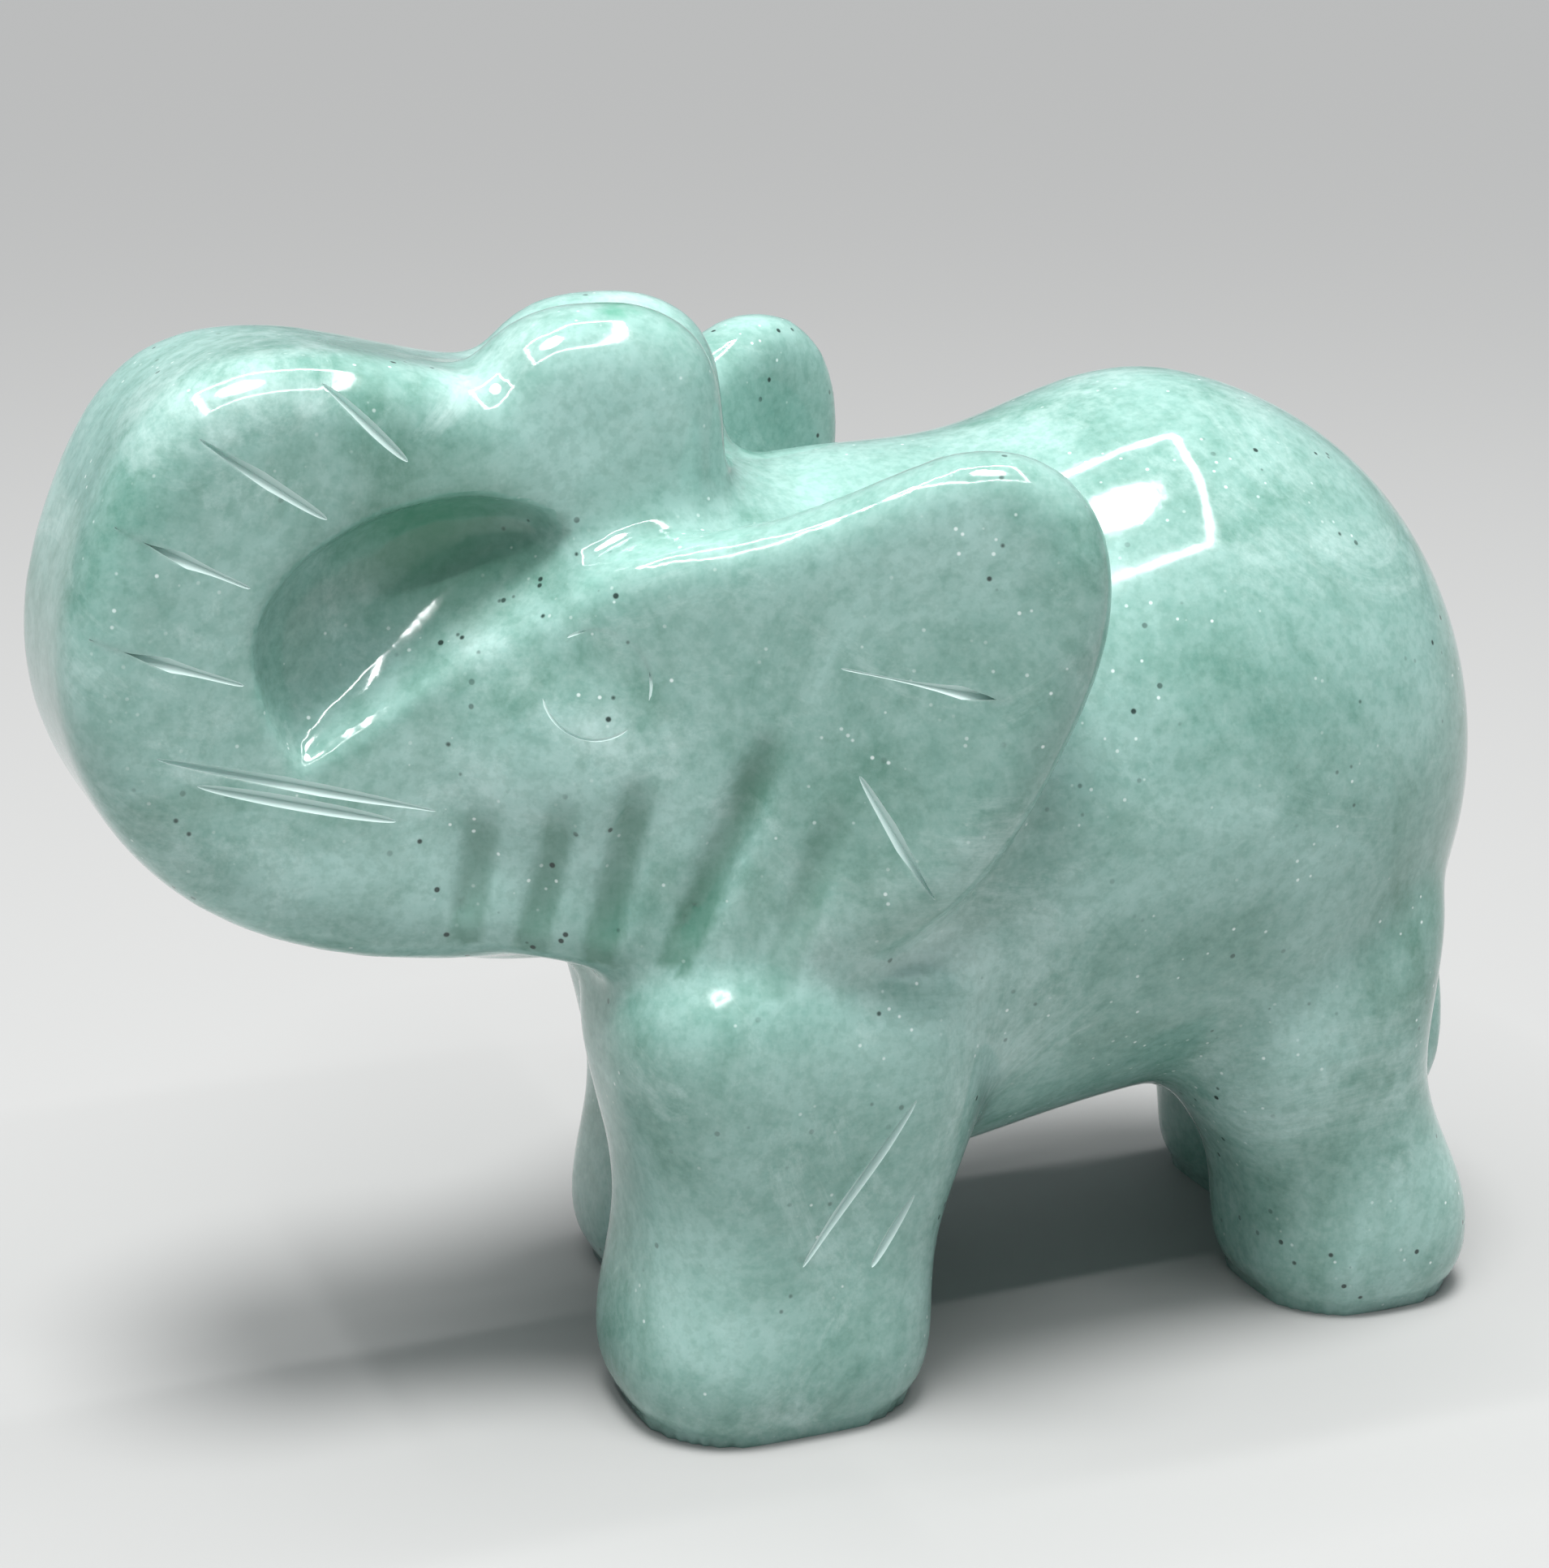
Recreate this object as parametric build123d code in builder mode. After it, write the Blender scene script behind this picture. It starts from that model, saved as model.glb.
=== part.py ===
from build123d import *
import os
from math import cos, radians, sin

# A small elephant carved from one piece of jade-like stone, its trunk thrown up and
# curled back against the brow. Millimetres, +Z up, origin on the ground at the middle.
# It looks along -X, so its left side is at -Y. Each named region of the stone below is
# one solid, and neighbouring regions meet face to face.

# Torso
chest_front_x = -8.0
shoulder_x = 0.0
hip_x = 11.5
rump_back_x = 22.7
shoulder_height = 29.3
back_height = 31.2
chest_height = 5.6
belly_height = 7.0
shoulder_width = 18.8
hip_width = 20.6
rump_height = 18.2
rump_fullness = 0.9
chest_lift = 0.8
waist_lift = 0.5
waist_dip = 0.1

# Head and the two lobes of the brow, flush with the sides of the trunk
head_x = -6.0
head_length = 20.0
head_top = 29.8
head_bottom = 13.6
head_width = 16.2
brow_x = -8.7
brow_length = 8.2
brow_width = 4.8
brow_top = 34.6
brow_depth = 10.6
brow_sweep = 0.5
brow_corner = 0.42
right_brow_lag = 1.8
right_brow_drop = 0.3

# Trunk and the scooped hollow that sets it off from the face
trunk_front_x = -24.6
trunk_top = 33.8
trunk_bottom = 15.5
trunk_width = 9.8
trunk_rounding = 1.9
recess_floor = 3.0
recess_overcut = 0.6

# Lower lip
lip_x = -9.8
lip_length = 11.0
lip_width = 7.6
lip_bottom = 13.9
lip_height = 4.6

# Ears, each a flap that grows out of the cheek and stands off behind
ear_front_x = -17.0
ear_front_y = 1.5
ear_flare = 26.7
ear_length = 23.7
ear_top = 31.0
ear_bottom = 14.7
cheek_top = 27.8
ear_thickness = 3.2
ear_edge_radius = 1.28
right_ear_lift = 1.2
right_ear_setback = 1.0

# Legs
front_leg_x = -4.0
rear_leg_x = 17.7
front_leg_y = 5.2
rear_leg_y = 4.4
front_foot_length = 10.4
front_foot_width = 9.0
rear_foot_length = 8.2
rear_foot_width = 8.4
right_leg_setback = 2.7
foot_height = 2.6
ankle_height = 5.2
front_leg_top = 15.0
rear_leg_top = 16.0
front_leg_lean = 0.12
rear_leg_lean = -0.3
front_thigh = (1.14, 1.04)
rear_thigh = (1.12, 0.8)
foot_corner = 0.8

# Tail
tail_root_height = 20.5
tail_tip_height = 5.4
tail_width = 2.8


def rounded_end(count, reach=86.0):
    """Pairs of travel and size, each from 0 to 1, that close a loft like an ellipsoid."""
    angles = [radians(reach) * step / count for step in range(1, count + 1)]
    return [(sin(angle), cos(angle)) for angle in angles]


with BuildPart() as torso:
    chest_middle = (shoulder_height + chest_height) / 2
    hip_middle = (back_height + belly_height) / 2
    chest_half = shoulder_height - chest_middle
    hip_half = back_height - hip_middle
    sections = []
    for travel, size in reversed(rounded_end(4)):
        x = shoulder_x + (chest_front_x - shoulder_x) * travel
        sections.append((x, chest_middle + chest_lift * travel, shoulder_width / 2 * size, chest_half * size))
    sections.append((shoulder_x, chest_middle, shoulder_width / 2, chest_half))
    middle_x = (shoulder_x + hip_x) / 2
    waist_width = (shoulder_width + hip_width) / 2
    sections.append((middle_x, chest_middle + waist_lift, waist_width / 2, chest_half - waist_dip))
    sections.append((hip_x, hip_middle, hip_width / 2, hip_half))
    for travel, size in rounded_end(5):
        x = hip_x + (rump_back_x - hip_x) * travel
        middle = hip_middle + (rump_height - hip_middle) * travel
        fullness = size**rump_fullness
        sections.append((x, middle, hip_width / 2 * fullness, hip_half * fullness))
    for x, middle, half_width, half_height in sections:
        with BuildSketch(Plane.YZ.offset(x)):
            with Locations((0, middle)):
                Ellipse(half_width, half_height)
    loft()
torso.part.label = "torso"

# The hollow between trunk and face is scooped from both sides down to a thin floor. Both
# outlines are points in X and Z: the floor's, and the wider mouth's just outside the stone.
hollow_floor = [(-17.0, 24.2), (-17.8, 26.2), (-16.2, 28.0), (-13.6, 28.6), (-11.8, 28.1), (-14.0, 25.8)]
hollow_mouth = [(-18.4, 22.0), (-19.5, 25.2), (-17.4, 28.8), (-13.0, 30.0), (-9.6, 28.8), (-13.6, 24.4)]
scoops = []
for side in (-1, 1):
    with BuildPart() as scoop:
        for rim, y in ((hollow_floor, recess_floor / 2), (hollow_mouth, trunk_width / 2 + recess_overcut)):
            with BuildSketch(Plane(origin=(0, side * y, 0), x_dir=(-side, 0, 0), z_dir=(0, side, 0))):
                with BuildLine():
                    Spline(*[(-side * x, z) for x, z in rim], periodic=True)
                make_face()
        loft()
    scoops.append(scoop)

# The skull is the head before the scoops, and the shape that its neighbours stop at.
with BuildPart() as skull:
    head_middle = (head_top + head_bottom) / 2
    ends = rounded_end(5)
    sections = [(-travel, size) for travel, size in reversed(ends)] + [(0, 1)] + ends
    for travel, size in sections:
        with BuildSketch(Plane.YZ.offset(head_x + head_length / 2 * travel)):
            with Locations((0, head_middle)):
                Ellipse(head_width / 2 * size, (head_top - head_middle) * size)
    loft()
    add(torso.part, mode=Mode.SUBTRACT)

with BuildPart() as head:
    add(skull.part)
    for scoop in scoops:
        add(scoop.part, mode=Mode.SUBTRACT)
head.part.label = "head"

brows = []
for side, lag, drop in ((-1, 0.0, 0.0), (1, right_brow_lag, right_brow_drop)):
    with BuildPart() as brow:
        # Each section: how far under the top, length and width against the lobe's.
        for under, length_share, width_share in (
            (brow_depth, 1.0, 1.0),
            (0.8 * brow_depth, 1.0, 1.0),
            (0.6 * brow_depth, 1.0, 1.0),
            (0.4 * brow_depth, 1.0, 1.0),
            (2.4, 0.94, 0.98),
            (1.2, 0.8, 0.86),
            (0.4, 0.56, 0.6),
            (0, 0.3, 0.32),
        ):
            section_x = brow_x + lag + brow_sweep * (1 - under / brow_depth)
            with BuildSketch(Plane.XY.offset(brow_top - drop - under)):
                with Locations((section_x, side * brow_width / 2)):
                    width = brow_width * width_share
                    RectangleRounded(brow_length * length_share, width, brow_corner * width)
        loft()
        for neighbour in [torso, skull, *scoops]:
            add(neighbour.part, mode=Mode.SUBTRACT)
    brow.part.label = "brow_left" if side < 0 else "brow_right"
    brows.append(brow)

with BuildPart() as trunk:
    with BuildSketch(Plane.XZ):
        with BuildLine():
            curl = Spline(
                (head_x - 4, trunk_bottom - 0.4),
                (-16.4, trunk_bottom),
                (-22.1, trunk_bottom + 3.0),
                (trunk_front_x, 23.6),
                (-23.5, 29.4),
                (-20.6, trunk_top - 0.6),
                (-17.8, trunk_top),
                (-13.6, trunk_top - 0.7),
                (brow_x - 0.5, trunk_top - 1.4),
            )
            Polyline(curl @ 1, (head_x - 2, 28.0), (head_x - 2, 18.0), curl @ 0)
        make_face()
    extrude(amount=trunk_width / 2, both=True)
    fillet(trunk.edges().filter_by(GeomType.BSPLINE), trunk_rounding)
    for neighbour in [torso, skull, *brows, *scoops]:
        add(neighbour.part, mode=Mode.SUBTRACT)
trunk.part.label = "trunk"

with BuildPart() as lower_lip:
    ends = rounded_end(4)
    sections = [(-travel, size) for travel, size in reversed(ends)] + [(0, 1)] + ends
    for travel, size in sections:
        with BuildSketch(Plane.YZ.offset(lip_x + lip_length / 2 * travel)):
            with Locations((0, lip_bottom + lip_height / 2)):
                Ellipse(lip_width / 2 * size, lip_height / 2 * size)
    loft()
    for neighbour in [torso, skull, trunk]:
        add(neighbour.part, mode=Mode.SUBTRACT)
lower_lip.part.label = "lower_lip"

ears = []
for side, lift, setback in ((-1, 0.0, 0.0), (1, right_ear_lift, right_ear_setback)):
    with BuildPart() as ear:
        along = (cos(radians(ear_flare)), side * sin(radians(ear_flare)), 0)
        # A plane's own up is its normal crossed with this direction, so +Z on both sides.
        root = (ear_front_x + setback, side * ear_front_y, lift)
        ear_plane = Plane(origin=root, x_dir=along, z_dir=(along[1], -along[0], 0))
        ear_middle = (ear_top + ear_bottom) / 2
        rim = [
            (0, ear_middle - 3.6),
            (0.12 * ear_length, ear_bottom + 1.7),
            (0.31 * ear_length, ear_bottom + 0.5),
            (0.55 * ear_length, ear_bottom),
            (0.78 * ear_length, ear_bottom + 1.8),
            (0.95 * ear_length, ear_middle - 0.6),
            (ear_length, ear_middle + 4.5),
            (0.96 * ear_length, ear_top - 1.2),
            (0.86 * ear_length, ear_top),
            (0.74 * ear_length, ear_top - 0.7),
            (0.58 * ear_length, ear_top - 2.2),
            (0.4 * ear_length, cheek_top),
            (0.29 * ear_length, cheek_top - 1.6),
            (0.12 * ear_length, cheek_top - 4.6),
            (0.02 * ear_length, cheek_top - 6.4),
        ]
        with BuildSketch(ear_plane):
            with BuildLine():
                Spline(*rim, periodic=True)
            make_face()
        extrude(amount=ear_thickness / 2, both=True)
        fillet(ear.edges(), min(ear_edge_radius, 0.45 * ear_thickness))
        for neighbour in [torso, skull, trunk, *brows]:
            add(neighbour.part, mode=Mode.SUBTRACT)
    ear.part.label = "left_ear" if side < 0 else "right_ear"
    ears.append(ear)

legs = []
leg_kinds = {
    "front": (front_leg_x, front_leg_y, front_foot_length, front_foot_width, front_leg_top),
    "rear": (rear_leg_x, rear_leg_y, rear_foot_length, rear_foot_width, rear_leg_top),
}
for kind, (leg_x, leg_y, foot_length, foot_width, leg_top) in leg_kinds.items():
    lean, thigh = (front_leg_lean, front_thigh) if kind == "front" else (rear_leg_lean, rear_thigh)
    for side in (-1, 1):
        x = leg_x + (right_leg_setback if side > 0 else 0)
        with BuildPart() as leg:
            # Each section: height, length and width against the foot's.
            for z, length_share, width_share in (
                (0, 0.82, 0.82),
                (0.5, 0.92, 0.92),
                (foot_height, 1.0, 1.0),
                (ankle_height, 0.97, 0.96),
                ((ankle_height + leg_top) / 2, thigh[0], 1.06),
                (leg_top, thigh[1], 0.9),
            ):
                section_x = x + lean * max(z - foot_height, 0)
                with BuildSketch(Plane.XY.offset(z)):
                    with Locations((section_x, side * leg_y)):
                        half_length = foot_length * length_share / 2
                        half_width = foot_width * width_share / 2
                        RectangleRounded(2 * half_length, 2 * half_width, foot_corner * half_width)
            loft()
            for neighbour in [torso, skull, trunk, lower_lip, *ears, *legs]:
                add(neighbour.part, mode=Mode.SUBTRACT)
        leg.part.label = f"{kind}_{'left' if side < 0 else 'right'}_leg"
        legs.append(leg)

with BuildPart() as tail:
    rise = tail_root_height - tail_tip_height
    for share, x, y, width in (
        (0, rump_back_x - 1.7, -2.6, 0.7),
        (0.15, rump_back_x - 1.4, -2.2, 1.1),
        (0.45, rump_back_x - 0.9, -1.2, 0.85),
        (0.8, rump_back_x - 0.7, -0.2, 1.0),
        (1.0, rump_back_x - 1.2, 0, 1.0),
    ):
        with BuildSketch(Plane.XY.offset(tail_tip_height + rise * share)):
            with Locations((x, y)):
                Circle(tail_width * width / 2)
    loft()
    for neighbour in [torso, *legs]:
        add(neighbour.part, mode=Mode.SUBTRACT)
tail.part.label = "tail"

os.makedirs("parts", exist_ok=True)
for region in [torso, head, *brows, trunk, lower_lip, *ears, *legs, tail]:
    export_step(region.part, f"parts/{region.part.label}.step")
    print(region.part.label, len(region.part.solids()), round(region.part.volume, 1))
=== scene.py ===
import math

import bpy
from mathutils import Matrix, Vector


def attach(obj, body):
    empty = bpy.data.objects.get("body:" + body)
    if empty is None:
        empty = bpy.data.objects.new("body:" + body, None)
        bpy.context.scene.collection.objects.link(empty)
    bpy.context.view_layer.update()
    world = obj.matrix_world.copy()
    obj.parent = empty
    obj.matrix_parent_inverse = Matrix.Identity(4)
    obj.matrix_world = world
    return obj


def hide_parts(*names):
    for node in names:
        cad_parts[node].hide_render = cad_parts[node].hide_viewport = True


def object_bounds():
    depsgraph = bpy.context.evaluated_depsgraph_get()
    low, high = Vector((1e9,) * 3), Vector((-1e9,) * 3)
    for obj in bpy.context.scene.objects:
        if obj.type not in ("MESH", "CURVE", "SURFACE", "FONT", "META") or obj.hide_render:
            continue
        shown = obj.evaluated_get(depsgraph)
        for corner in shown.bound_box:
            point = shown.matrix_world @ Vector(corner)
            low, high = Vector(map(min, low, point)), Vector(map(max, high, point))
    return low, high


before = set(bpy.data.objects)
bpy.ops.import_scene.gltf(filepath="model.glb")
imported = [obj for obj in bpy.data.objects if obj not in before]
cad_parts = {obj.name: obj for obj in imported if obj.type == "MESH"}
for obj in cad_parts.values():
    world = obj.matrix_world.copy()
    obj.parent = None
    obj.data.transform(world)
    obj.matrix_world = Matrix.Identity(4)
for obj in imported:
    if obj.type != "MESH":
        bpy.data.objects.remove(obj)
cadLow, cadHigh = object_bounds()
cadMiddle = (cadLow + cadHigh) / 2
mm = 0.001

stoneNodes = sorted(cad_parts)
nearSide, farSide = -1, 1


def deselectAll():
    for shown in bpy.context.selected_objects:
        shown.select_set(False)


def makeActive(piece):
    deselectAll()
    piece.select_set(True)
    bpy.context.view_layer.objects.active = piece


def applyModifier(piece, kind, **settings):
    makeActive(piece)
    modifier = piece.modifiers.new(kind.title(), kind)
    for name, value in settings.items():
        setattr(modifier, name, value)
    bpy.ops.object.modifier_apply(modifier=modifier.name)


def joinPieces(pieces, name):
    deselectAll()
    for piece in pieces:
        piece.select_set(True)
    bpy.context.view_layer.objects.active = pieces[0]
    if len(pieces) > 1:
        bpy.ops.object.join()
    joined = bpy.context.view_layer.objects.active
    joined.name = joined.data.name = name
    return joined


def settle(piece):
    makeActive(piece)
    bpy.ops.object.transform_apply(location=True, rotation=True, scale=True)


def cut(stone, cutters):
    tool = joinPieces(cutters, "cuttingTool")
    applyModifier(stone, "BOOLEAN", operation="DIFFERENCE", solver="EXACT", object=tool)
    bpy.data.objects.remove(tool)


# camera

cameraValues = {
    "azimuth": -22.0,
    "elevation": 16.0,
    "distance": 105.7,
    "lens": 74.53,
    "aim": (-1.1, 0.8, 0.9),
}


def makeCamera(values):
    azimuth = math.radians(values["azimuth"])
    elevation = math.radians(values["elevation"])
    back = Vector((
        math.sin(azimuth) * math.cos(elevation),
        -math.cos(azimuth) * math.cos(elevation),
        math.sin(elevation),
    ))
    data = bpy.data.cameras.new("camera")
    data.lens = values["lens"]
    data.clip_start = 0.005
    data.clip_end = 10.0
    camera = bpy.data.objects.new("camera", data)
    bpy.context.scene.collection.objects.link(camera)
    camera.location = cadMiddle + Vector(values["aim"]) * mm + back * values["distance"] * mm
    camera.rotation_mode = "QUATERNION"
    camera.rotation_quaternion = (-back).to_track_quat("-Z", "Y")
    bpy.context.scene.camera = camera


makeCamera(cameraValues)
print("camera made")


# the stone's form, all its regions melted into one skin

skinValues = {
    "mergeReach": 0.01,
    "roughVoxel": 0.42,
    "roughRounds": 16,
    "fineVoxel": 0.30,
    "fineRounds": 2,
    "smoothing": 0.5,
    "soleBand": 0.35,
    "plugMiddle": (-14.6, 0.0, 26.0),
    "plugSize": (5.9, 4.3, 4.7),
    "plugTurn": -35.0,
    "creaseAngle": 38.0,
}


def copyOfStone(nodes, values):
    copies = []
    for name in nodes:
        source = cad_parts[name]
        copy = bpy.data.objects.new("copyOf" + name, source.data.copy())
        bpy.context.scene.collection.objects.link(copy)
        makeActive(copy)
        bpy.ops.object.mode_set(mode="EDIT")
        bpy.ops.mesh.select_all(action="SELECT")
        bpy.ops.mesh.remove_doubles(threshold=values["mergeReach"] * mm)
        bpy.ops.object.mode_set(mode="OBJECT")
        copies.append(copy)
    stone = joinPieces(copies, "jadeElephant")
    stone.data.materials.clear()
    return stone


def makePlug(values):
    deselectAll()
    bpy.ops.mesh.primitive_cylinder_add(vertices=64, radius=1.0, depth=2.0)
    plug = bpy.context.active_object
    plug.scale = [size * mm for size in values["plugSize"]]
    plug.rotation_euler = (math.radians(90), math.radians(values["plugTurn"]), 0)
    plug.location = Vector(values["plugMiddle"]) * mm
    settle(plug)
    return plug


def meltSkin(stone, values, voxel, rounds):
    applyModifier(stone, "REMESH", mode="VOXEL", voxel_size=values[voxel] * mm)
    applyModifier(stone, "SMOOTH", factor=values["smoothing"], iterations=values[rounds])


def flattenSoles(stone, values):
    for vertex in stone.data.vertices:
        if vertex.co.z < values["soleBand"] * mm:
            vertex.co.z = 0.0


# the hollow is filled first, so that its rim stays crisp when it is cut again
stone = joinPieces([copyOfStone(stoneNodes, skinValues), makePlug(skinValues)], "jadeElephant")
meltSkin(stone, skinValues, "roughVoxel", "roughRounds")
print("rough form", len(stone.data.polygons))


# the hollow between the trunk and the face, a teardrop cut in from each side

hollowValues = {
    # the outline as (x, z) in millimetres, from the sharp tip round over the top
    "mouth": [
        (-18.4, 21.6), (-19.6, 24.2), (-19.7, 26.4), (-18.2, 28.3), (-15.4, 29.5),
        (-12.4, 29.8), (-9.8, 29.0), (-9.2, 27.6), (-11.9, 25.1), (-15.2, 22.9),
    ],
    "floor": [
        (-18.1, 22.6), (-19.0, 24.6), (-18.8, 26.3), (-17.4, 27.7), (-15.2, 28.8),
        (-12.8, 29.2), (-11.4, 28.8), (-11.6, 28.2), (-13.6, 26.9), (-15.9, 24.6),
    ],
    "mouthReach": 5.0,
    "outerReach": 8.5,
    "outerFlare": 0.25,
    "deepX": -12.5,
    "deepReach": 1.7,
    "floorTilt": 0.27,
    "rounding": 4,
    "tipReach": 0.01,
}


def cutterFromRings(rings, values):
    deselectAll()
    bpy.ops.mesh.primitive_circle_add(vertices=len(rings[0]), radius=0.01, fill_type="NGON")
    cutter = bpy.context.active_object
    order = list(range(len(rings[0])))
    for index, ring in enumerate(rings):
        if index:
            bpy.ops.object.mode_set(mode="EDIT")
            bpy.ops.mesh.extrude_region_move()
            bpy.ops.object.mode_set(mode="OBJECT")
            placed = {tuple(cutter.data.vertices[old].co): slot for slot, old in enumerate(order)}
            fresh = [vertex.index for vertex in cutter.data.vertices if vertex.select]
            order = sorted(fresh, key=lambda vertex: placed[tuple(cutter.data.vertices[vertex].co)])
        for slot, vertex in enumerate(order):
            cutter.data.vertices[vertex].co = Vector(ring[slot]) * mm
    # the edges that join the tips stay sharp
    creases = cutter.data.attributes.new("crease_edge", "FLOAT", "EDGE")
    tips = {Vector(ring[0]).freeze() for ring in rings}
    corners = [vertex.co / mm for vertex in cutter.data.vertices]
    for edge in cutter.data.edges:
        ends = [min((corners[vertex] - tip).length for tip in tips) for vertex in edge.vertices]
        creases.data[edge.index].value = 1.0 if max(ends) < values["tipReach"] else 0.0
    bpy.ops.object.mode_set(mode="EDIT")
    bpy.ops.mesh.select_all(action="SELECT")
    bpy.ops.mesh.normals_make_consistent(inside=False)
    bpy.ops.object.mode_set(mode="OBJECT")
    applyModifier(cutter, "SUBSURF", levels=values["rounding"], render_levels=values["rounding"])
    return cutter


def makeHollowCutter(values, side):
    floor, mouth, outer = [], [], []
    flare = values["outerFlare"]
    for (mouthX, mouthZ), (floorX, floorZ) in zip(values["mouth"], values["floor"]):
        reach = values["deepReach"] + values["floorTilt"] * abs(values["deepX"] - floorX)
        floor.append((floorX, side * reach, floorZ))
        mouth.append((mouthX, side * values["mouthReach"], mouthZ))
        outerX = mouthX + (mouthX - floorX) * flare
        outerZ = mouthZ + (mouthZ - floorZ) * flare
        outer.append((outerX, side * values["outerReach"], outerZ))
    return cutterFromRings([outer, mouth, floor], values)


cut(stone, [makeHollowCutter(hollowValues, side) for side in (nearSide, farSide)])
print("hollows cut", len(stone.data.polygons))


# polished flutes that run down the cheek to the jaw

fluteValues = {
    # from (x, z) to (x, z), and how deep against the others
    "runs": [
        ((-12.9, 20.4), (-13.4, 16.6), 0.8),
        ((-10.9, 20.6), (-11.6, 16.4), 0.9),
        ((-8.8, 21.1), (-9.8, 16.2), 1.0),
        ((-5.3, 22.4), (-7.6, 16.4), 1.0),
        ((-3.4, 21.0), (-5.0, 15.6), 0.5),
    ],
    "radius": 0.72,
    "depth": 0.5,
    "stretch": 1.2,
    "segments": 32,
    "rings": 24,
    # painted shade: a darker green along each flute, where the polished groove reflects the dark
    "shadeReach": 0.62,
    "shadeSharpness": 3.0,
    "shadeFrom": -0.1,
    "shadeTo": 1.15,
    "shadeRise": 3.0,
    "shadeAtTop": 0.3,
}

outsideStone = 50.0  # where a ray toward the stone starts
noHitReach = 5.0


def skinPoint(stone, x, z, side):
    start = Vector((x, side * outsideStone, z)) * mm
    hit, spot, normal, face = stone.ray_cast(start, Vector((0, -side, 0)))
    if hit:
        return spot, normal
    return Vector((x, side * noHitReach, z)) * mm, Vector((0, side, 0))


def makeFlutes(stone, values, side):
    cutters, runs = [], []
    radius = values["radius"] * mm
    for (topX, topZ), (lowX, lowZ), share in values["runs"]:
        top, topNormal = skinPoint(stone, topX, topZ, side)
        low, lowNormal = skinPoint(stone, lowX, lowZ, side)
        normal = (topNormal + lowNormal).normalized()
        deselectAll()
        bpy.ops.mesh.primitive_uv_sphere_add(segments=values["segments"], ring_count=values["rings"],
                                             radius=1.0)
        cutter = bpy.context.active_object
        length = (top - low).length * values["stretch"] / 2
        cutter.scale = (radius, radius, length)
        cutter.rotation_mode = "QUATERNION"
        cutter.rotation_quaternion = (low - top).to_track_quat("Z", "X")
        cutter.location = (top + low) / 2 + normal * (radius - values["depth"] * share * mm)
        settle(cutter)
        cutters.append(cutter)
        runs.append((top, low, share))
    return cutters, runs


# paints shade along the flutes into a point attribute, strongest near each flute's axis and lower end
def paintFluteShade(stone, runs, values):
    tint = stone.data.attributes.new("fluteShade", "FLOAT", "POINT")
    for vertex in stone.data.vertices:
        strength = 0.0
        for top, low, share in runs:
            along = low - top
            travel = (vertex.co - top).dot(along) / along.length_squared
            if values["shadeFrom"] < travel < values["shadeTo"]:
                away = (vertex.co - top - along * travel).length / (values["shadeReach"] * mm)
                across = min(1.0, values["shadeSharpness"] * (1.0 - away))
                down = min(1.0, values["shadeRise"] * travel + values["shadeAtTop"])
                strength = max(strength, share * across * down)
        tint.data[vertex.index].value = strength


fluteRuns = []
for side in (nearSide, farSide):
    fluteCutters, sideRuns = makeFlutes(stone, fluteValues, side)
    fluteRuns += sideRuns
    cut(stone, fluteCutters)
meltSkin(stone, skinValues, "fineVoxel", "fineRounds")
print("flutes cut", len(stone.data.polygons))


# engraved lines, left frosted, and the thin ring of the eye

engravingValues = {
    "lines": [
        ((-17.0, 33.0), (-14.7, 30.7)),
        ((-20.6, 31.7), (-17.1, 29.2)),
        ((-23.0, 29.3), (-19.4, 27.4)),
        ((-23.9, 26.2), (-19.7, 24.6)),
        ((-22.3, 22.7), (-14.2, 20.3)),
        ((-21.2, 21.8), (-15.4, 20.1)),
        ((-3.5, 24.8), (3.2, 23.5)),
        ((-3.0, 21.6), (-0.9, 17.8)),
        ((-0.9, 11.1), (-4.4, 6.0)),
        ((-0.7, 7.8), (-2.1, 5.6)),
    ],
    "width": 0.2,
    "lineSegments": 4,
    "lineRings": 16,
    "eye": (-9.9, 24.2),
    "eyeRadius": 1.6,
    "eyeWidth": 0.05,
    "eyeSegments": 64,
    "eyeRings": 8,
}


def makeLineCutter(stone, values, side, line):
    (startX, startZ), (endX, endZ) = line
    start = skinPoint(stone, startX, startZ, side)[0]
    end = skinPoint(stone, endX, endZ, side)[0]
    middle, normal = skinPoint(stone, (startX + endX) / 2, (startZ + endZ) / 2, side)
    deselectAll()
    bpy.ops.mesh.primitive_uv_sphere_add(segments=values["lineSegments"], ring_count=values["lineRings"],
                                         radius=1.0)
    cutter = bpy.context.active_object
    along = (end - start).normalized()
    half = (end - start).length / 2
    cutter.scale = (values["width"] * mm, values["width"] * mm, half)
    cutter.rotation_mode = "QUATERNION"
    cutter.rotation_quaternion = along.to_track_quat("Z", "X")
    settle(cutter)
    bow = (middle - (start + end) / 2).dot(normal)
    for vertex in cutter.data.vertices:
        share = vertex.co.dot(along) / half
        vertex.co += normal * bow * (1 - share * share)  # follows the swell of the stone
    cutter.location = (start + end) / 2
    settle(cutter)
    return cutter


def makeEyeCutter(stone, values, side):
    spot, normal = skinPoint(stone, *values["eye"], side)
    deselectAll()
    bpy.ops.mesh.primitive_torus_add(
        major_radius=values["eyeRadius"] * mm, minor_radius=values["eyeWidth"] * mm,
        major_segments=values["eyeSegments"], minor_segments=values["eyeRings"])
    ring = bpy.context.active_object
    ring.rotation_mode = "QUATERNION"
    ring.rotation_quaternion = normal.to_track_quat("Z", "Y")
    ring.location = spot
    settle(ring)
    return ring


def markFaces(piece, name, value):
    for item in piece.data.attributes.new(name, "FLOAT", "FACE").data:
        item.value = value


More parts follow.
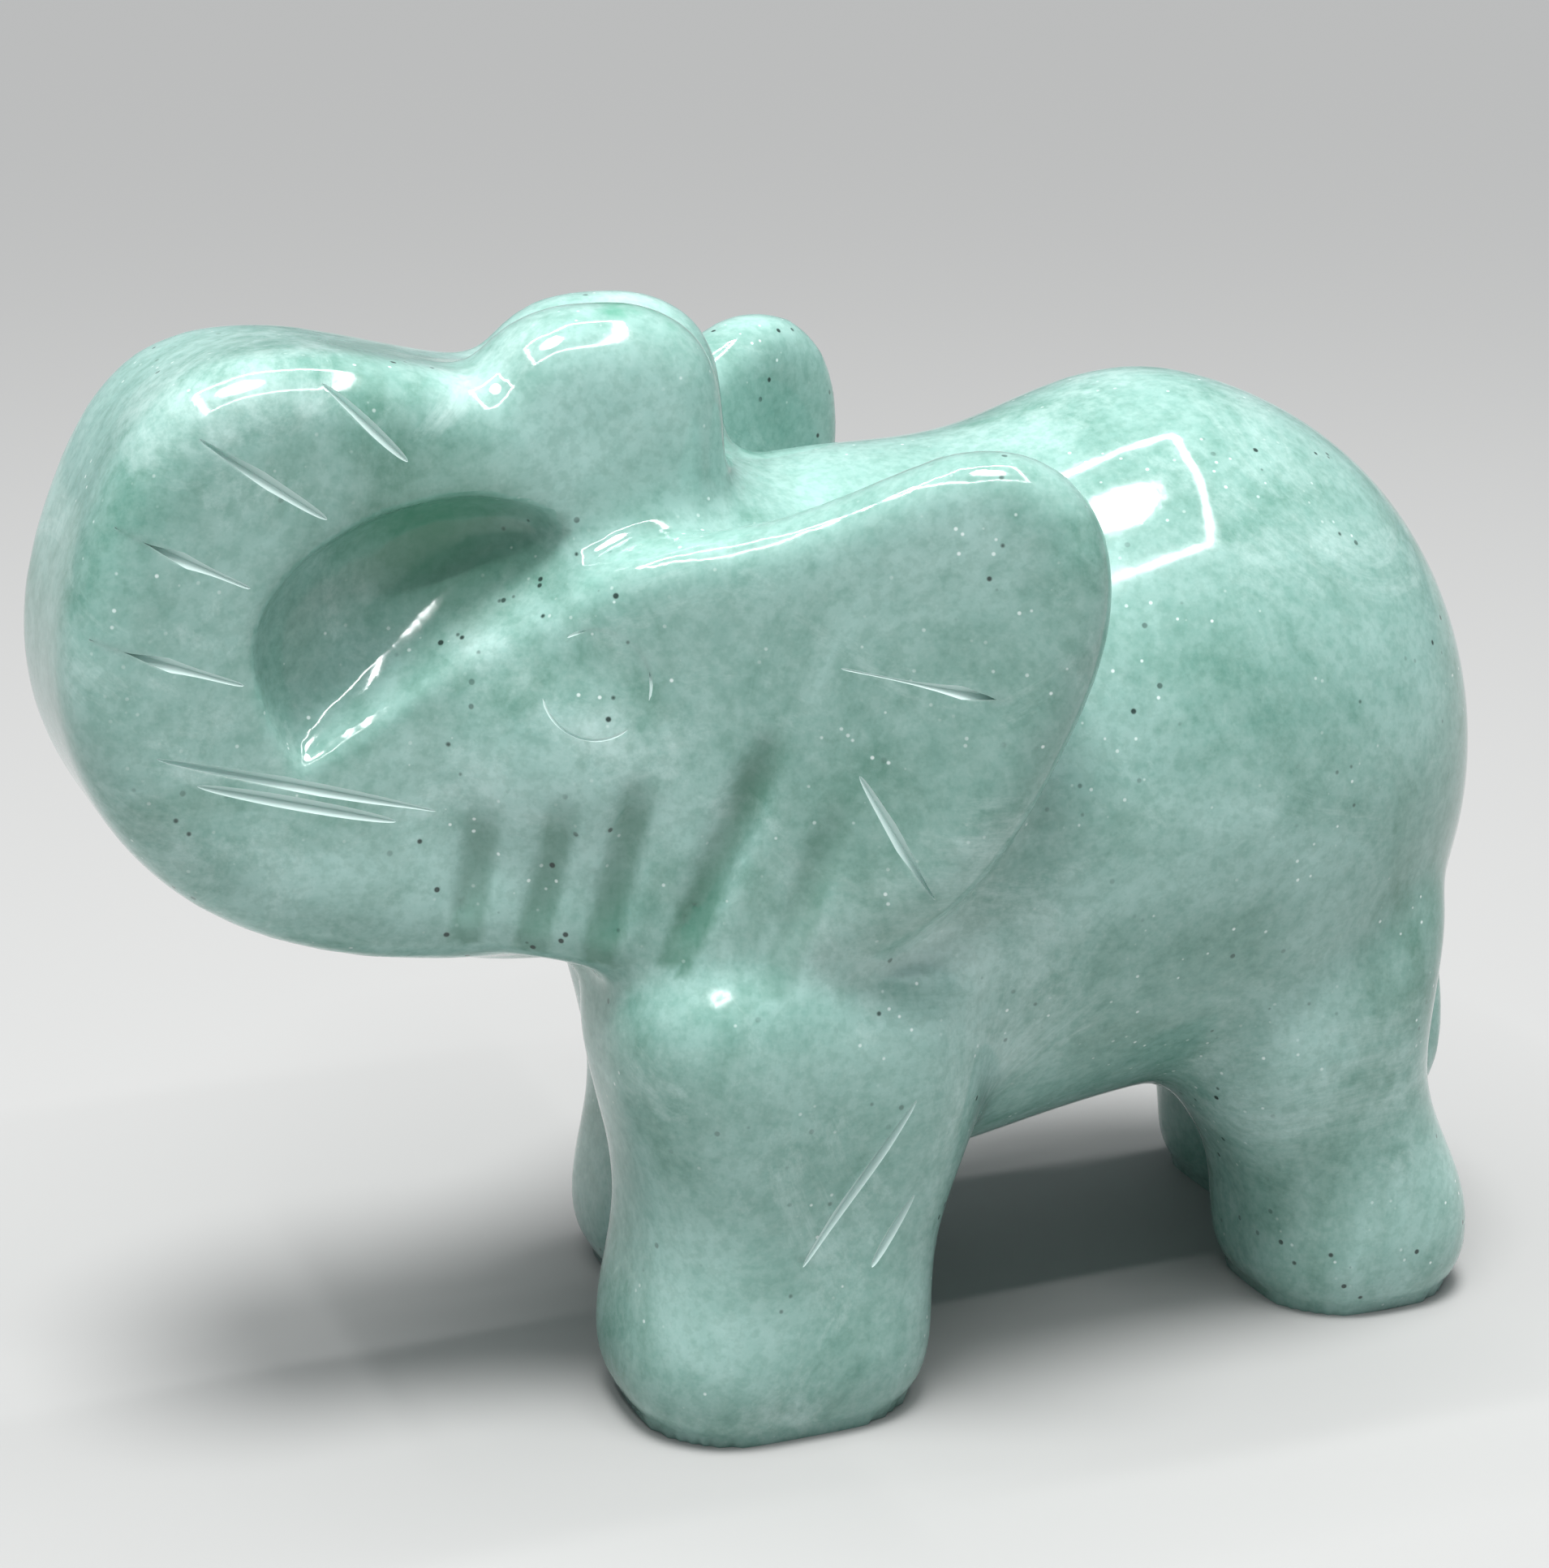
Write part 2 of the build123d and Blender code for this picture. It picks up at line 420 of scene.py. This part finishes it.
markFaces(stone, "frosted", 0.0)
for side in (nearSide, farSide):
    lineCutters = [makeLineCutter(stone, engravingValues, side, line) for line in engravingValues["lines"]]
    for cutter in lineCutters + [makeEyeCutter(stone, engravingValues, side)]:
        markFaces(cutter, "frosted", 1.0)
        cut(stone, [cutter])
flattenSoles(stone, skinValues)
print("lines engraved", len(stone.data.polygons))

paintFluteShade(stone, fluteRuns, fluteValues)
makeActive(stone)
bpy.ops.object.shade_smooth_by_angle(angle=math.radians(skinValues["creaseAngle"]))
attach(stone, "root")
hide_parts(*stoneNodes)


# stone finish

class Socket:
    def __init__(self, tree, link):
        self.tree = tree
        self.link = link

    def maths(self, operation, other):
        node = self.tree.nodes.new("ShaderNodeMath")
        node.operation = operation
        place(self.tree, node.inputs[0], self)
        place(self.tree, node.inputs[1], other)
        return Socket(self.tree, node.outputs[0])

    def __add__(self, other):
        return self.maths("ADD", other)

    def __mul__(self, other):
        return self.maths("MULTIPLY", other)

    __radd__ = __add__
    __rmul__ = __mul__


def place(tree, socket, value):
    if isinstance(value, Socket):
        tree.links.new(value.link, socket)
    else:
        socket.default_value = value


class Shader:
    def __init__(self, name):
        self.material = bpy.data.materials.new(name)
        self.material.use_nodes = True
        self.tree = self.material.node_tree
        self.principled = self.tree.nodes["Principled BSDF"]

    def node(self, kind, output=0, settings=None, **sockets):
        node = self.tree.nodes.new(kind)
        for name, value in (settings or {}).items():
            setattr(node, name, value)
        for name, value in sockets.items():
            place(self.tree, node.inputs[name.replace("_", " ")], value)
        return Socket(self.tree, node.outputs[output])

    def ramp(self, value, low, high):
        return self.node("ShaderNodeMapRange", Value=value, From_Min=low, From_Max=high)

    def noise(self, vector, scale, detail=2.0, roughness=0.5, distortion=0.0):
        return self.node("ShaderNodeTexNoise", Vector=vector, Scale=scale, Detail=detail,
                         Roughness=roughness, Distortion=distortion)

    def cloud(self, vector, noise, span):
        return self.ramp(self.noise(vector, *noise), *span)

    def crystals(self, vector, scale, span):
        return self.ramp(self.node("ShaderNodeTexVoronoi", Vector=vector, Scale=scale), *span)

    def attribute(self, name):
        return self.node("ShaderNodeAttribute", output=2, settings={"attribute_name": name})

    def mix(self, mask, first, second):
        node = self.tree.nodes.new("ShaderNodeMix")
        node.data_type = "RGBA"
        place(self.tree, node.inputs[0], mask)
        place(self.tree, node.inputs[6], first)
        place(self.tree, node.inputs[7], second)
        return Socket(self.tree, node.outputs[2])

    def near(self, vector, centre, radius):
        away = self.node("ShaderNodeVectorMath", output=1, settings={"operation": "DISTANCE"})
        node = away.link.node
        place(self.tree, node.inputs[0], vector)
        node.inputs[1].default_value = [value * mm for value in centre]
        return self.ramp(away, radius * mm, 0.0)

    def set(self, name, value):
        place(self.tree, self.principled.inputs[name], value)


jadeValues = {
    "midGreen": (0.155, 0.33, 0.275, 1),
    "paleMint": (0.36, 0.575, 0.53, 1),
    "deepGreen": (0.04, 0.175, 0.11, 1),
    "hollowShade": (0.05, 0.25, 0.14, 1),
    "milk": (0.60, 0.78, 0.75, 1),
    "vein": (0.03, 0.30, 0.17, 1),
    "speck": (0.008, 0.02, 0.017, 1),
    "paintedGlint": (0.86, 0.96, 0.94, 1),
    "frost": (0.62, 0.78, 0.75, 1),
    # each noise is (scale, detail, roughness, distortion), and a span is where it starts and is full
    "clouds": ((130.0, 6.0, 0.66, 0.6), (0.36, 0.66)),
    # over the clouds: the noise, its span, how strong, and the colour
    "layers": [
        ((80.0, 8.0, 0.72, 1.6), (0.52, 0.68), 0.62, "milk"),
        ((110.0, 6.0, 0.66, 0.8), (0.54, 0.70), 0.50, "deepGreen"),
        ((1300.0, 4.0, 0.7), (0.36, 0.64), 0.17, "milk"),
        ((3200.0, 2.0, 0.6), (0.45, 0.62), 0.15, "deepGreen"),
    ],
    "fluteShadeStrength": 0.6,
    "hollowShadeStrength": 0.9,
    "hollowShadeCentres": [(-13.2, -2.2, 28.4), (-13.2, 2.2, 28.4)],
    "hollowShadeReach": 4.2,
    "veinMiddle": (-7.4, -2.4, 34.6),
    "veinReach": 2.2,
    "veinBreaks": ((420.0, 3.0), (0.44, 0.56)),
    "speckZone": ((150.0, 3.0), (0.50, 0.60)),
    "specks": (1200.0, (0.13, 0.08)),
    "speckTint": 0.9,
    "glintZone": ((300.0, 2.0), (0.48, 0.62)),
    "glints": (1800.0, (0.13, 0.07)),
    "glintHighlightStrength": 0.75,
    "frostTint": 0.85,
    "polish": 0.06,
    "haze": ((240.0, 4.0), (0.35, 0.7)),
    "hazeRoughness": 0.08,
    "frostRoughness": 0.45,
    "ripples": (260.0, 2.0),
    "fineRipples": (2400.0, 2.0),
    "fineRippleShare": 0.12,
    "rippleStrength": 0.09,
    "rippleHeight": 0.3,
    "subsurface": 0.2,
    "scatterRadius": (0.7, 1.0, 0.9),
    "scatterScale": 1.2,
    "ior": 1.56,
}


def jadeFinish(values):
    shader = Shader("jade")
    at = shader.node("ShaderNodeTexCoord", output=3)
    color = shader.mix(shader.cloud(at, *values["clouds"]), values["midGreen"], values["paleMint"])
    for noise, span, amount, tint in values["layers"]:
        color = shader.mix(shader.cloud(at, noise, span) * amount, color, values[tint])
    # painted shade: the flutes are mixed towards deep green
    color = shader.mix(shader.attribute("fluteShade") * values["fluteShadeStrength"], color, values["deepGreen"])
    # painted shade: the colour darkens to deep green towards the middle of each hollow, where shade falls
    # in the recess
    nearDepth, farDepth = values["hollowShadeCentres"]
    reach = values["hollowShadeReach"]
    hollow = shader.near(at, nearDepth, reach) + shader.near(at, farDepth, reach)
    color = shader.mix(hollow * values["hollowShadeStrength"], color, values["hollowShade"])
    vein = shader.near(at, values["veinMiddle"], values["veinReach"])
    vein = vein * shader.cloud(at, *values["veinBreaks"])
    color = shader.mix(vein, color, values["vein"])
    specks = shader.crystals(at, *values["specks"]) * shader.cloud(at, *values["speckZone"])
    color = shader.mix(specks * values["speckTint"], color, values["speck"])
    # painted highlights: tiny bright glints painted into the colour, in scattered patches
    glints = shader.crystals(at, *values["glints"]) * shader.cloud(at, *values["glintZone"])
    color = shader.mix(glints * values["glintHighlightStrength"], color, values["paintedGlint"])
    frosted = shader.attribute("frosted")
    color = shader.mix(frosted * values["frostTint"], color, values["frost"])
    shader.set("Base Color", color)
    haze = shader.cloud(at, *values["haze"])
    roughness = values["polish"] + values["hazeRoughness"] * haze + values["frostRoughness"] * frosted
    shader.set("Roughness", roughness)
    ripple = shader.noise(at, *values["ripples"])
    ripple = ripple + shader.noise(at, *values["fineRipples"]) * values["fineRippleShare"]
    bump = shader.node("ShaderNodeBump", Height=ripple, Strength=values["rippleStrength"],
                       Distance=values["rippleHeight"] * mm)
    shader.set("Normal", bump)
    shader.set("Subsurface Weight", values["subsurface"])
    shader.set("Subsurface Radius", values["scatterRadius"])
    shader.set("Subsurface Scale", values["scatterScale"] * mm)
    shader.set("IOR", values["ior"])
    return shader.material


stone.data.materials.append(jadeFinish(jadeValues))
print("finish made")


# light and stage

stageValues = {
    "floorSize": 12.0,
    "floorColor": (0.40, 0.40, 0.395, 1),
    "floorRoughness": 0.8,
    # power, spread in degrees, direction
    "key": (3.3, 20.0, (0.10, 0.16, -0.98)),
    # four strips that stand in a frame over the stone, in metres
    "frameHeight": 0.20,
    "frameHalf": 0.075,
    "frameMiddle": (-0.02, -0.04),
    "stripWidth": 0.007,
    "stripPower": 0.11,
    "world": (0.9, 0.95, 1.0, 1),
    "worldStrength": 0.25,
}


def makeFloor(values):
    deselectAll()
    bpy.ops.mesh.primitive_plane_add(size=values["floorSize"], location=(0, 0, cadLow.z))
    floor = bpy.context.active_object
    floor.name = "floor"
    material = bpy.data.materials.new("paleFloor")
    material.use_nodes = True
    principled = material.node_tree.nodes["Principled BSDF"]
    principled.inputs["Base Color"].default_value = values["floorColor"]
    principled.inputs["Roughness"].default_value = values["floorRoughness"]
    floor.data.materials.append(material)
    settle(floor)


def makeLight(name, kind, power, spot, facing):
    data = bpy.data.lights.new(name, kind)
    data.energy = power
    light = bpy.data.objects.new(name, data)
    bpy.context.scene.collection.objects.link(light)
    light.location = spot
    light.rotation_mode = "QUATERNION"
    light.rotation_quaternion = Vector(facing).to_track_quat("-Z", "Y")
    return data


def makeLights(values):
    power, spread, facing = values["key"]
    makeLight("key", "SUN", power, (0, 0, 1), facing).angle = math.radians(spread)
    half = values["frameHalf"]
    middleX, middleY = values["frameMiddle"]
    for name, x, y, wide in (("stripFront", 0, -half, True), ("stripBack", 0, half, True),
                             ("stripLeft", -half, 0, False), ("stripRight", half, 0, False)):
        spot = (middleX + x, middleY + y, values["frameHeight"])
        strip = makeLight(name, "AREA", values["stripPower"], spot, (0, 0, -1))
        strip.shape = "RECTANGLE"
        lengths = (2 * half, values["stripWidth"])
        strip.size, strip.size_y = lengths if wide else lengths[::-1]


def makeWorld(values):
    world = bpy.data.worlds.new("world")
    bpy.context.scene.world = world
    world.use_nodes = True
    background = world.node_tree.nodes["Background"]
    background.inputs[0].default_value = values["world"]
    background.inputs[1].default_value = values["worldStrength"]


makeFloor(stageValues)
makeLights(stageValues)
makeWorld(stageValues)
bpy.context.scene.view_settings.view_transform = "Standard"
print("stage made")
